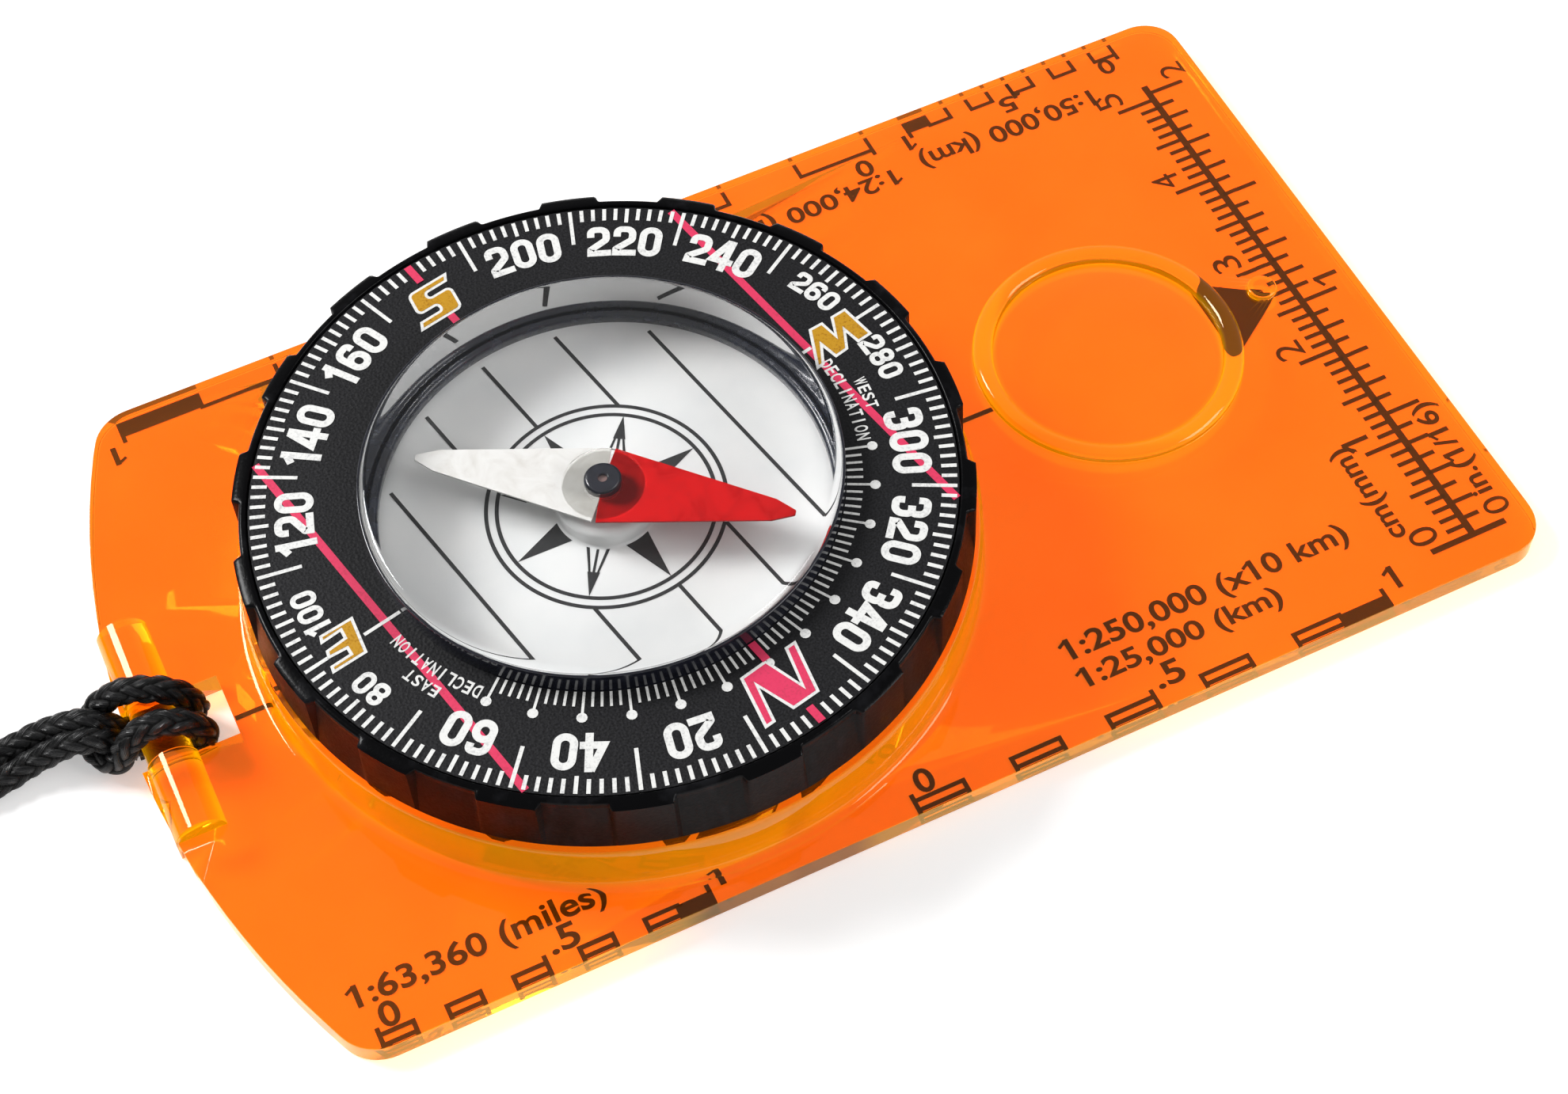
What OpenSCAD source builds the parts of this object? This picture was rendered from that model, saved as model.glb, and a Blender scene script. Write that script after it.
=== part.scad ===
/* [Baseplate] */
// Length of the plate, along the direction of travel
plate_l = 104; // [100:1:120]
// Width of the plate
plate_w = 61; // [59:1:70]
// Thickness of the plate
plate_t = 2.2; // [2:0.1:2.6]
// Radius of the curved rear end
rear_end_r = 70; // [60:1:90]
// Radius of the rear corners
rear_corner_r = 3.5; // [2:0.5:5]
// Radius of the front corners
front_corner_r = 3; // [2:0.5:5]
// Width of the bevel along each ruler edge
bevel_w = 3.5; // [2:0.5:4]
// Drop of that bevel at the edge
bevel_drop = 0.3; // [0.2:0.05:0.5]

/* [Magnifier] */
// Distance from the plate's middle to the lens
lens_x = 30.2; // [29:0.1:33]
// Radius of the convex lens
lens_r = 9.2; // [8:0.1:9.5]
// Height of the convex face over the plate
lens_crown = 1.0; // [0.6:0.1:1.4]
// Width of the raised rim around the lens
lens_rim_w = 1.7; // [1.2:0.1:2]
// Height of that rim over the plate
lens_rim_h = 0.75; // [0.5:0.05:0.9]
// Distance from the plate's middle to the raised pip
pip_x = 44.4; // [44:0.1:46]

/* [Lanyard bar] */
// Length of the slot beside the bar
slot_l = 5.6; // [5.5:0.1:7]
// Width of the gap between the bar and the plate
slot_w = 3.5; // [3.3:0.1:4]
// Radius of the bar's rounded top
bar_r = 1.8; // [1.6:0.1:1.8]
// Height of the gap under the bar
bar_lift = 2.1; // [2.1:0.1:2.2]
// Length of each boss that carries the bar
boss_l = 6.8; // [5:0.1:8]

/* [Dial] */
// Distance from the plate's middle back to the dial's axis
dial_back = 13; // [12:0.5:16]
// Radius of the turret that carries the dial
turret_r = 28.3; // [28.2:0.1:29]
// Height of the turret's deck over the ground
turret_h = 6.6; // [6.6:0.1:7]
// Radius of the dial at its foot
dial_foot_r = 27.75; // [27.6:0.05:28]
// Radius of the dial at its top edge
dial_top_r = 27.05; // [26.9:0.05:27.3]
// Height of the dial's printed face over the deck
face_rise = 5.4; // [5:0.1:6]
// Number of grip ribs
grip_n = 18; // [12:1:24]
// Arc that each rib covers, in degrees
grip_arc = 9.2; // [6:0.2:11]
// Direction of the N mark, anticlockwise from the direction of travel
dial_turn = 282.6; // [0:0.2:360]

/* [Capsule] */
// Outer radius of the capsule
capsule_r = 17.8; // [17:0.1:18]
// Wall of the capsule's lid
capsule_wall = 1.4; // [1.2:0.1:1.8]
// Height of the lid's top over the printed face
capsule_rise = 2.4; // [2:0.1:3]
// Depth of the liquid
liquid_depth = 7.3; // [7:0.1:8]

/* [Needle] */
// Length of the needle
needle_l = 29; // [24:0.5:30]
// Width of the needle across its middle
needle_w = 6.7; // [5:0.1:8]
// Thickness of the needle's steel
needle_t = 0.25; // [0.2:0.05:0.4]
// Direction of the north end, anticlockwise from the direction of travel
needle_turn = 323.6; // [0:0.2:360]

/* [Lanyard] */
// Thickness of the cord
cord_d = 2; // [1.8:0.1:2]

/* [Hidden] */

$fn = 96;
eps = 0.01;
glue_gap = 0.05;
turn_gap = 0.08;

// Baseplate
half_l = plate_l / 2;
half_w = plate_w / 2;
rear_x = rear_end_r - half_l;
rear_corner_y = half_w - rear_corner_r;
rear_corner_x = rear_x - sqrt(pow(rear_end_r - rear_corner_r, 2) - pow(rear_corner_y, 2));
rear_tangent_y = rear_corner_y * rear_end_r / (rear_end_r - rear_corner_r);
front_corner_x = half_l - front_corner_r;
front_corner_y = half_w - front_corner_r;
lens_sphere_r = (lens_r * lens_r + lens_crown * lens_crown) / (2 * lens_crown);
rim_mid_r = lens_r + lens_rim_w / 2;
pip_r = 1.2;
pip_h = 0.5;

// Lanyard bar
bar_x = 2.4 - half_l;
bar_y = 0.6;
boss_r = bar_r + 0.2;
slot_x = bar_x + bar_r + slot_w;

// Turret
dial_x = -dial_back;
deck_t = 1.6;
deck_z = turret_h - deck_t;
bore_r = capsule_r + 2.3;
turret_in_r = turret_r - 1.8;
turret_fillet = 0.8;
turret_edge = 0.3;

// Dial
washer_t = 0.28;
foot_z = turret_h + washer_t + 0.02;
face_z = turret_h + face_rise;
face_t = 0.4;
face_out_r = dial_top_r - 0.65;
face_in_r = capsule_r + 0.15;
lip_z = face_z + 0.2;
sleeve_r = bore_r - turn_gap;
sleeve_z = 3.2;
seat_in_r = capsule_r - 0.9;
seat_t = 0.4;
ring_t = 0.9;
ring_z = deck_z - turn_gap - ring_t;
ring_in_r = sleeve_r - 0.8;
ring_out_r = sleeve_r + 1.5;
ring_gap = 34;
groove_gap = 0.05;
hollow_in_r = 23.4;
hollow_out_r = dial_foot_r - 1.6;
hollow_z = face_z - 1.7;
grip_r = dial_foot_r - 0.05;

// Capsule
lid_top_z = face_z + capsule_rise;
lid_top_t = 1.5;
ceiling_z = lid_top_z - lid_top_t;
floor_z = ceiling_z - liquid_depth;
cavity_r = capsule_r - capsule_wall;
base_z = sleeve_z + seat_t;
seal_t = 1.2;
lid_z = floor_z + seal_t;
lid_edge = 0.5;
post_r = 3.75;
post_h = 2.4;
post_round = 0.7;
plug_r = 0.9;
plug_at = 12;
plug_t = 1.7;

// Needle and its pivot
pin_r = 0.4;
pin_foot_z = floor_z - 0.6;
blade_z = floor_z + 4.0;
cap_r = 1.42;
cap_foot_z = blade_z - 0.4;
cap_h = 2.15;
cap_sight_r = 0.55;
jewel_r = 0.75;
jewel_t = 0.65;
jewel_z = cap_foot_z + 1.15;
dimple_h = 0.3;
pin_tip_z = jewel_z + dimple_h - 0.03;
pin_cone_h = 0.9;
hub_r = 3.1;
hub_t = 0.65;
tip_half_w = 0.25;
shoulder_half_w = 0.95;
shoulder_back = 1.6;
sweep_gap = 0.4;

// Lanyard: route points are in the plate's own frame, chosen by hand
cord_r = cord_d / 2;
cord_sides = 8;
coil_x = -77;
coil_y = 17.5;
coil_out_r = 15.9;
coil_in_r = 4.6;
coil_h = 4.1;
coil_round = 1.6;
knot_r = 2.6;
knot_at = [1.9, -0.6];
tie_w = 3.2;
tie_t = 0.35;
tie_h = 4.6;
hitch_route = [
    [-51.5, 0.8, 1.05], [-49.8, 0.3, 1.05], [-48.4, -0.5, 1.05], [-47.2, -1.1, 1.2],
    [-46.7, -1.2, 2.2], [-46.8, -1.2, 3.4], [-47.6, -1, 4.4], [-48.8, -0.6, 4.8],
    [-50.1, -0.3, 4.8], [-51.4, -0.2, 4.2], [-52.3, -0.2, 3.2], [-52.9, -0.1, 2],
    [-53.7, 0.4, 1.2], [-54.3, 1.3, 1.05], [-54.6, 2.4, 1.05], [-54.4, 3.5, 1.1],
    [-53.9, 4.2, 1.8], [-53.2, 4.3, 2.8], [-52.2, 4, 3.9], [-50.9, 3.5, 4.7],
    [-49.6, 2.9, 4.9], [-48.3, 2.3, 4.7], [-47.3, 1.8, 4.1], [-46.7, 1.5, 3.1],
    [-46.6, 1.5, 2], [-47.4, 1.7, 1.1], [-49, 2, 1.05], [-51.5, 2.35, 1.05],
];
strand_a_route = [
    [-51.5, 0.8, 1.05], [-52.3, 1.15, 1.4], [-53.1, 1.4, 2.25], [-54, 1.6, 2.9], [-55, 1.9, 3],
    [-56.1, 2.3, 2.7], [-57.4, 2.6, 2.1], [-59, 2.8, 1.5], [-60.6, 2.7, 1.1], [-62, 2.5, 1],
    [-64.4, 2.4, 1], [-66.8, 2.3, 1], [-69.4, 2.3, 1], [-72, 2.4, 1],
];
strand_b_route = [
    [-51.5, 2.35, 1.05], [-52.3, 2.5, 1.45], [-53.1, 2.75, 2.5], [-54, 3, 3.3], [-55, 3.5, 3.2],
    [-56.3, 4.1, 2.6], [-57.9, 4.7, 1.8], [-59.5, 4.9, 1.2], [-61.1, 4.9, 1], [-63, 4.6, 1.1],
    [-65.4, 4.4, 1.4], [-67.8, 4.1, 1.9], [-70.2, 3.7, 2.5], [-72.4, 3, 2.9],
];

// Helpers
function unit(v) = v / norm(v);
function along(route, i) =
    unit(route[min(i + 1, len(route) - 1)] - route[max(i - 1, 0)]);
function side(d) = unit(cross(d, abs(d.z) < 0.9 ? [0, 0, 1] : [1, 0, 0]));
// A side direction carried from ring to ring, so that the tube doesn't twist
function carried(route, i, s) =
    let (d = along(route, i)) unit(s - (s * d) * d);
function sides(route, i = 0, s = undef) =
    i == len(route) ? [] :
    let (now = i == 0 ? side(along(route, 0)) : carried(route, i, s))
    concat([now], sides(route, i + 1, now));
function ring(route, across, i, r) =
    let (d = along(route, i), u = across[i], v = cross(d, u))
    [for (k = [0 : cord_sides - 1])
        let (a = 360 * k / cord_sides) route[i] + r * (cos(a) * u + sin(a) * v)];

module tube(route, r) {
    n = len(route);
    m = cord_sides;
    across = sides(route);
    points = [for (i = [0 : n - 1]) each ring(route, across, i, r)];
    walls = [for (i = [0 : n - 2], k = [0 : m - 1])
        [i * m + k, (i + 1) * m + k, (i + 1) * m + (k + 1) % m, i * m + (k + 1) % m]];
    first = [for (k = [0 : m - 1]) k];
    last = [for (k = [m - 1 : -1 : 0]) (n - 1) * m + k];
    polyhedron(points, concat([first], walls, [last]));
}

module disc(r, z, h) {
    translate([0, 0, z]) cylinder(r = r, h = h);
}

module annulus(r_in, r_out, z, h) {
    difference() {
        disc(r_out, z, h);
        disc(r_in, z - 1, h + 2);
    }
}

module at_dial() {
    translate([dial_x, 0, 0]) children();
}

// Baseplate parts
module plate_outline() {
    intersection() {
        translate([rear_x, 0]) circle(r = rear_end_r, $fn = 200);
        translate([-half_l - 1, -rear_tangent_y]) square([half_l, 2 * rear_tangent_y]);
    }
    translate([rear_corner_x, -half_w]) square([front_corner_x - rear_corner_x, plate_w]);
    translate([0, -front_corner_y]) square([half_l, 2 * front_corner_y]);
    for (s = [-1, 1]) {
        translate([front_corner_x, s * front_corner_y]) circle(r = front_corner_r);
        translate([rear_corner_x, s * rear_corner_y]) circle(r = rear_corner_r);
    }
}

module edge_bevel() {
    slope = bevel_drop / bevel_w;
    translate([-half_l - 5, 0, 0]) rotate([90, 0, 90]) linear_extrude(plate_l + 10)
        polygon([
            [half_w - bevel_w, plate_t], [half_w + 2, plate_t - slope * (bevel_w + 2)],
            [half_w + 2, plate_t + 2], [half_w - bevel_w, plate_t + 2],
        ]);
}

module turret_form() {
    fillet = [for (a = [0 : 15 : 90])
        [turret_r + turret_fillet * (1 - sin(a)), plate_t + turret_fillet * (1 - cos(a))]];
    rotate_extrude() polygon(concat(
        [[0, plate_t - 0.5], [turret_r + turret_fillet, plate_t - 0.5]], fillet,
        [[turret_r, turret_h - turret_edge], [turret_r - turret_edge, turret_h], [0, turret_h]]));
}

module lens_form() {
    rim = [for (a = [0 : 15 : 180])
        [rim_mid_r + lens_rim_w / 2 * cos(a), plate_t + lens_rim_h * sin(a)]];
    rotate_extrude() polygon(concat([[rim_mid_r + lens_rim_w / 2, plate_t - 0.5]], rim,
        [[lens_r, plate_t - 0.5]]));
    intersection() {
        translate([0, 0, plate_t + lens_crown - lens_sphere_r]) sphere(r = lens_sphere_r, $fn = 180);
        disc(lens_r + eps, plate_t - 0.5, lens_crown + 1);
    }
}

module pip_form() {
    disc(pip_r, plate_t - 0.5, pip_h + 0.35);
    translate([0, 0, plate_t + pip_h - 0.15]) cylinder(r1 = pip_r, r2 = pip_r - 0.15, h = 0.15);
}

// A bar along Y with a half-round top, on square sides down to z_low
module round_bar(r, z_low, z_top, y0, y1) {
    translate([0, y1, z_top - r]) rotate([90, 0, 0]) cylinder(r = r, h = y1 - y0);
    if (z_top - r > z_low) translate([-r, y0, z_low]) cube([2 * r, y1 - y0, z_top - r - z_low]);
}

module lanyard_bar_form() {
    bar_top = bar_lift + bar_r - 0.2;
    end_y = slot_l / 2;
    difference() {
        union() {
            round_bar(bar_r, bar_lift, bar_top, bar_y - end_y - 1, bar_y + end_y + 1);
            for (y0 = [bar_y - end_y - boss_l, bar_y + end_y])
                round_bar(boss_r, 0, bar_top + 0.2, y0, y0 + boss_l);
        }
        translate([-boss_r - 1, bar_y - end_y - boss_l - 1, -2])
            cube([2 * boss_r + 2, slot_l + 2 * boss_l + 2, 2]);
        translate([-boss_r - 1, bar_y - end_y, -1]) cube([2 * boss_r + 2, slot_l, bar_lift + 1]);
    }
}

module baseplate() {
    color([1, 0.42, 0.08]) difference() {
        union() {
            difference() {
                linear_extrude(plate_t) plate_outline();
                edge_bevel();
                mirror([0, 1, 0]) edge_bevel();
                translate([-half_l - 5, bar_y - slot_l / 2, -1])
                    cube([slot_x + half_l + 5, slot_l, plate_t + 2]);
            }
            at_dial() turret_form();
            translate([lens_x, 0, 0]) lens_form();
            translate([pip_x, 0, 0]) pip_form();
            translate([bar_x, 0, 0]) lanyard_bar_form();
        }
        at_dial() {
            disc(turret_in_r, -1, deck_z + 1);
            disc(bore_r, -1, turret_h + 2);
        }
    }
}

module friction_washer() {
    color("ivory") at_dial() annulus(bore_r + 0.4, hollow_in_r - 0.4, turret_h, washer_t);
}

// Dial parts
module grip_rib() {
    rotate([0, 0, -grip_arc / 2]) rotate_extrude(angle = grip_arc)
        polygon([
            [face_out_r + 0.2, foot_z], [grip_r, foot_z], [grip_r, lip_z - 0.35],
            [grip_r - 0.3, lip_z - 0.05], [face_out_r + 0.2, lip_z - 0.05],
        ]);
}

module bezel_form() {
    rotate_extrude() polygon([
        [seat_in_r, sleeve_z], [sleeve_r, sleeve_z], [sleeve_r, foot_z], [hollow_in_r, foot_z],
        [hollow_in_r, hollow_z], [hollow_out_r - 0.6, hollow_z], [hollow_out_r, foot_z],
        [dial_foot_r, foot_z], [dial_top_r, lip_z - 0.25], [dial_top_r - 0.2, lip_z],
        [face_out_r + 0.15, lip_z], [face_out_r + 0.05, face_z - face_t],
        [capsule_r + glue_gap, face_z - face_t], [capsule_r + glue_gap, base_z],
        [seat_in_r, base_z],
    ]);
}

module bezel() {
    color([0.13, 0.13, 0.14]) at_dial() rotate([0, 0, dial_turn]) difference() {
        union() {
            bezel_form();
            for (k = [0 : grip_n - 1]) rotate([0, 0, (k + 0.5) * 360 / grip_n]) grip_rib();
        }
        annulus(ring_in_r - groove_gap, sleeve_r + 1, ring_z - groove_gap, ring_t + 2 * groove_gap);
    }
}

module retaining_ring() {
    color("silver") at_dial() rotate([0, 0, dial_turn + ring_gap / 2])
        rotate_extrude(angle = 360 - ring_gap)
            translate([ring_in_r, ring_z]) square([ring_out_r - ring_in_r, ring_t]);
}

module dial_plate() {
    color([0.08, 0.08, 0.09]) at_dial() annulus(face_in_r, face_out_r, face_z - face_t, face_t);
}

// Capsule parts
module capsule_base() {
    color([0.95, 0.95, 0.93]) at_dial() rotate([0, 0, dial_turn]) difference() {
        union() {
            disc(capsule_r, base_z, floor_z - base_z);
            disc(post_r, floor_z - 0.5, post_h - post_round + 0.5);
            translate([0, 0, floor_z + post_h - post_round])
                cylinder(r1 = post_r, r2 = post_r - post_round, h = post_round);
        }
        disc(pin_r, pin_foot_z, floor_z);
        translate([plug_at, 0, 0]) disc(plug_r, base_z - 1, plug_t + 1);
    }
}

module capsule_seal() {
    color([0.08, 0.09, 0.14]) at_dial() annulus(cavity_r, capsule_r, floor_z, seal_t);
}

module capsule_lid() {
    edge = [for (a = [0 : 15 : 90])
        [capsule_r - lid_edge * (1 - cos(a)), lid_top_z - lid_edge * (1 - sin(a))]];
    color([0.8, 0.9, 0.95, 0.4]) at_dial() rotate_extrude() polygon(concat(
        [[cavity_r, lid_z], [capsule_r, lid_z]], edge,
        [[0, lid_top_z], [0, ceiling_z], [cavity_r, ceiling_z]]));
}

module filler_plug() {
    color([0.85, 0.85, 0.83]) at_dial() rotate([0, 0, dial_turn])
        translate([plug_at, 0, 0]) disc(plug_r, base_z, plug_t);
}

// The liquid, with the space that the turning needle sweeps left free
module damping_liquid() {
    sweep_r = needle_l / 2 + sweep_gap;
    hub_sweep_r = hub_r + sweep_gap;
    color([0.85, 0.93, 1, 0.3]) at_dial() rotate_extrude() polygon([
        [post_r + glue_gap, floor_z + glue_gap], [cavity_r - glue_gap, floor_z + glue_gap],
        [cavity_r - glue_gap, ceiling_z - glue_gap], [0, ceiling_z - glue_gap],
        [0, cap_foot_z + cap_h + sweep_gap], [hub_sweep_r, cap_foot_z + cap_h + sweep_gap],
        [hub_sweep_r, blade_z + needle_t + sweep_gap], [sweep_r, blade_z + needle_t + sweep_gap],
        [sweep_r, blade_z - sweep_gap], [hub_sweep_r, blade_z - sweep_gap],
        [hub_sweep_r, cap_foot_z - sweep_gap], [pin_r + glue_gap, cap_foot_z - sweep_gap],
        [pin_r + glue_gap, floor_z + post_h + glue_gap], [post_r + glue_gap, floor_z + post_h + glue_gap],
    ]);
}

module pivot_pin() {
    shank_h = pin_tip_z - pin_cone_h - pin_foot_z;
    color("silver") at_dial() {
        disc(pin_r, pin_foot_z, shank_h);
        translate([0, 0, pin_foot_z + shank_h]) cylinder(r1 = pin_r, r2 = 0.05, h = pin_cone_h);
    }
}

// Needle parts
module at_needle() {
    at_dial() rotate([0, 0, needle_turn]) children();
}

module needle_blade() {
    tip = needle_l / 2;
    shoulder = tip - shoulder_back;
    half = [
        [tip, tip_half_w], [shoulder, shoulder_half_w], [0, needle_w / 2],
        [-shoulder, shoulder_half_w], [-tip, tip_half_w],
    ];
    outline = concat(half, [for (i = [len(half) - 1 : -1 : 0]) [half[i].x, -half[i].y]]);
    color("red") at_needle() difference() {
        translate([0, 0, blade_z]) linear_extrude(needle_t) polygon(outline);
        disc(cap_r, blade_z - 1, 3);
    }
}

module needle_hub() {
    color([0.93, 0.93, 0.95, 0.6]) at_needle()
        annulus(cap_r, hub_r, blade_z + needle_t, hub_t);
}

module needle_cap() {
    color([0.05, 0.06, 0.1]) at_needle() difference() {
        disc(cap_r, cap_foot_z, cap_h);
        disc(jewel_r, cap_foot_z - 1, jewel_z + jewel_t - cap_foot_z + 1);
        disc(cap_sight_r, cap_foot_z, cap_h + 1);
    }
}

module jewel_cup() {
    color([0.95, 0.85, 0.8]) at_needle() difference() {
        disc(jewel_r, jewel_z, jewel_t);
        translate([0, 0, jewel_z - eps]) cylinder(r1 = 0.45, r2 = 0.04, h = dimple_h);
    }
}

// Lanyard
module lanyard_hitch() {
    color([0.06, 0.06, 0.07]) tube(hitch_route, cord_r);
}

module lanyard_strand_a() {
    color([0.06, 0.06, 0.07]) tube(strand_a_route, cord_r);
}

module lanyard_strand_b() {
    color([0.06, 0.06, 0.07]) tube(strand_b_route, cord_r);
}

module at_coil() {
    translate([coil_x, coil_y, 0]) children();
}

// A band round the coil's turns, on the side away from the plate
module tie_form() {
    w = coil_out_r - coil_in_r;
    translate([-coil_out_r - 0.2, -tie_w / 2, 0]) difference() {
        cube([w + 0.4, tie_w, tie_h]);
        translate([0.2 + tie_t, -1, tie_t]) cube([w - 2 * tie_t, tie_w + 2, tie_h - 2 * tie_t]);
    }
}

module lanyard_coil() {
    color([0.06, 0.06, 0.07]) at_coil() difference() {
        rotate_extrude() polygon([
            [coil_in_r + coil_round, 0], [coil_out_r - coil_round, 0], [coil_out_r, coil_round],
            [coil_out_r, coil_h - coil_round], [coil_out_r - coil_round, coil_h],
            [coil_in_r + coil_round, coil_h], [coil_in_r, coil_h - coil_round], [coil_in_r, coil_round],
        ]);
        tie_form();
    }
}

module coil_tie() {
    color([0.1, 0.1, 0.11]) at_coil() tie_form();
}

module lanyard_knot() {
    color([0.06, 0.06, 0.07]) at_coil()
        translate([knot_at.x, knot_at.y, knot_r]) sphere(r = knot_r);
}

baseplate();
friction_washer();
retaining_ring();
bezel();
dial_plate();
capsule_base();
capsule_seal();
capsule_lid();
filler_plug();
damping_liquid();
pivot_pin();
needle_blade();
needle_hub();
needle_cap();
jewel_cup();
lanyard_hitch();
lanyard_strand_a();
lanyard_strand_b();
lanyard_coil();
coil_tie();
lanyard_knot();
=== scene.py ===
"""Baseplate compass: the visual model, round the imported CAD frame. Metres, +Z up, +X along the plate."""
import math
from math import cos, pi, radians, sin

import bmesh
import bpy
from mathutils import Matrix, Vector


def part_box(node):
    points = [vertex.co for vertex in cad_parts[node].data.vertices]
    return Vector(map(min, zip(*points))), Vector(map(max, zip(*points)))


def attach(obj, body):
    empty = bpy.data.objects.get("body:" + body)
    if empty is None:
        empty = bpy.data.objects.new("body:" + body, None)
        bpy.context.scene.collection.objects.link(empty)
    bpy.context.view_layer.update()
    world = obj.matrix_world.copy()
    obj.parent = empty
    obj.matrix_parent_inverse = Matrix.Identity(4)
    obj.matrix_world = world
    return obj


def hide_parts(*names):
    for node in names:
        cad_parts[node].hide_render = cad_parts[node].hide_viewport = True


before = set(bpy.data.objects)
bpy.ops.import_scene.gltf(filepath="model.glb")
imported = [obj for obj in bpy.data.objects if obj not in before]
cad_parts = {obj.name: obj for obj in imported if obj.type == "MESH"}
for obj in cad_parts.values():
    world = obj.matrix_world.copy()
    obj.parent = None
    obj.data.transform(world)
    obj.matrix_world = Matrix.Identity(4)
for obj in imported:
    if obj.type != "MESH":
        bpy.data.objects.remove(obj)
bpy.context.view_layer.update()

MM = 0.001
FLOOR_Z = -0.03 * MM

# ---- camera, light and floor
CAMERA_AT = Vector((-46.22, -116.23, 184.14)) * MM
CAMERA_LOOKS_AT = Vector((-0.47, -3.94, 0.0)) * MM
CAMERA_ROLL = radians(-3.64)
SENSOR = 36.0
LENS = 64.94


def aim(obj, target, roll=0.0):
    """Turns obj so that its -Z looks at target."""
    way = (target - obj.location).to_track_quat("-Z", "Y")
    obj.rotation_euler = (way.to_matrix() @ Matrix.Rotation(roll, 3, "Z")).to_euler()


def new_object(name, data):
    obj = bpy.data.objects.new(name, data)
    bpy.context.collection.objects.link(obj)
    return obj


def make_camera():
    data = bpy.data.cameras.new("camera")
    data.sensor_width = SENSOR
    data.lens = LENS
    data.clip_start = 0.005
    camera = new_object("camera", data)
    camera.location = CAMERA_AT
    aim(camera, CAMERA_LOOKS_AT, CAMERA_ROLL)
    bpy.context.scene.camera = camera


def area_light(name, at, size, power):
    """A rectangular light that faces the origin."""
    data = bpy.data.lights.new(name, "AREA")
    data.shape = "RECTANGLE"
    data.size, data.size_y = size
    data.energy = power
    light = new_object(name, data)
    light.location = at
    aim(light, Vector())


make_camera()

# ---- places, from the frame
def box_corners(node):
    return [Vector(p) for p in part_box(node)]


plate_low = box_corners("baseplate")[0]
bezel_low, bezel_high = box_corners("bezel")
face_low, face_high = box_corners("dial_plate")
lid_low, lid_high = box_corners("capsule_lid")
seal_low, seal_high = box_corners("capsule_seal")
base_low, base_high = box_corners("capsule_base")
hub_low, hub_high = box_corners("needle_hub")
blade_low, blade_high = box_corners("needle_blade")
cap_low, cap_high = box_corners("needle_cap")
coil_low, coil_high = box_corners("lanyard_coil")
knot_low, knot_high = box_corners("lanyard_knot")
tie_low, tie_high = box_corners("coil_tie")

AXIS = Vector(((bezel_low.x + bezel_high.x) / 2, (bezel_low.y + bezel_high.y) / 2, 0.0))
DIAL_TURN = radians(282.6)
NEEDLE_TURN = radians(323.6)
LID_R = (lid_high.x - lid_low.x) / 2
FACE_Z = face_high.z
CAPSULE_FLOOR_Z = seal_low.z


# ---- mesh helpers
def link(name, bm, sharp, body, slot, material, *nodes):
    """The bmesh as a smooth piece that rides on body and stands for these CAD nodes.

    Its edges over the sharp angle stay crisp.
    """
    mesh = bpy.data.meshes.new(name)
    bmesh.ops.recalc_face_normals(bm, faces=bm.faces)
    bm.to_mesh(mesh)
    bm.free()
    mesh.shade_smooth()
    if sharp:
        mesh.set_sharp_from_angle(angle=radians(sharp))
    mesh.materials.append(material)
    obj = new_object(name, mesh)
    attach(obj, body)
    if nodes:
        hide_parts(*nodes)
    return obj


def rounded(corners, closed=True, turn=12.0):
    """The corners (x, y, radius) as a line of points, with an arc of that radius at each corner."""
    points = []
    n = len(corners)
    for i, (x, y, radius) in enumerate(corners):
        here = Vector((x, y))
        if radius <= 0 or (not closed and i in (0, n - 1)):
            points.append(here)
            continue
        back = (Vector(corners[i - 1][:2]) - here).normalized()
        on = (Vector(corners[(i + 1) % n][:2]) - here).normalized()
        half = math.acos(max(-1.0, min(1.0, back.dot(on)))) / 2
        centre = here + (back + on).normalized() * (radius / sin(half))
        first = here + back * (radius / math.tan(half)) - centre
        sweep = pi - 2 * half
        sense = 1 if back.x * on.y - back.y * on.x < 0 else -1
        steps = max(2, math.ceil(math.degrees(sweep) / turn))
        for k in range(steps + 1):
            spun = Matrix.Rotation(sense * sweep * k / steps, 2) @ first
            points.append(centre + spun)
    return points


def skin(bm, rings, capped=True):
    """Faces between closed rings of equal length, and over the first and the last."""
    for one, two in zip(rings, rings[1:]):
        for k, corner in enumerate(one):
            j = (k + 1) % len(one)
            bm.faces.new((corner, one[j], two[j], two[k]))
    if capped:
        bm.faces.new(rings[0][::-1])
        bm.faces.new(rings[-1])


def turned(name, corners, body, slot, material, *nodes, turn=15, segments=192, push=None, sharp=35):
    """A profile turned about the dial's axis: corners (r, z) in metres, with their rounding in millimetres.

    A profile that starts on the axis is open there. push(angle, r, z) says how far a point moves out.
    """
    closed = corners[0][0] > 0
    bm = bmesh.new()
    rings = []
    for r, z in rounded([(r, z, radius * MM) for r, z, radius in corners], closed, turn):
        if r < 1e-7:
            rings.append([bm.verts.new((AXIS.x, AXIS.y, z))])
            continue
        ring = []
        for k in range(segments):
            a = 2 * pi * k / segments
            reach = r + (push(a, r, z) if push else 0.0)
            ring.append(bm.verts.new((AXIS.x + reach * cos(a), AXIS.y + reach * sin(a), z)))
        rings.append(ring)
    for one, two in zip(rings, rings[1:] + rings[:1]):
        if len(one) == 1 and len(two) == 1:
            continue
        for k in range(segments):
            spots = [one[k % len(one)], one[(k + 1) % len(one)], two[(k + 1) % len(two)], two[k % len(two)]]
            bm.faces.new(list(dict.fromkeys(spots)))
    link(name, bm, sharp, body, slot, material, *nodes)


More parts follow.
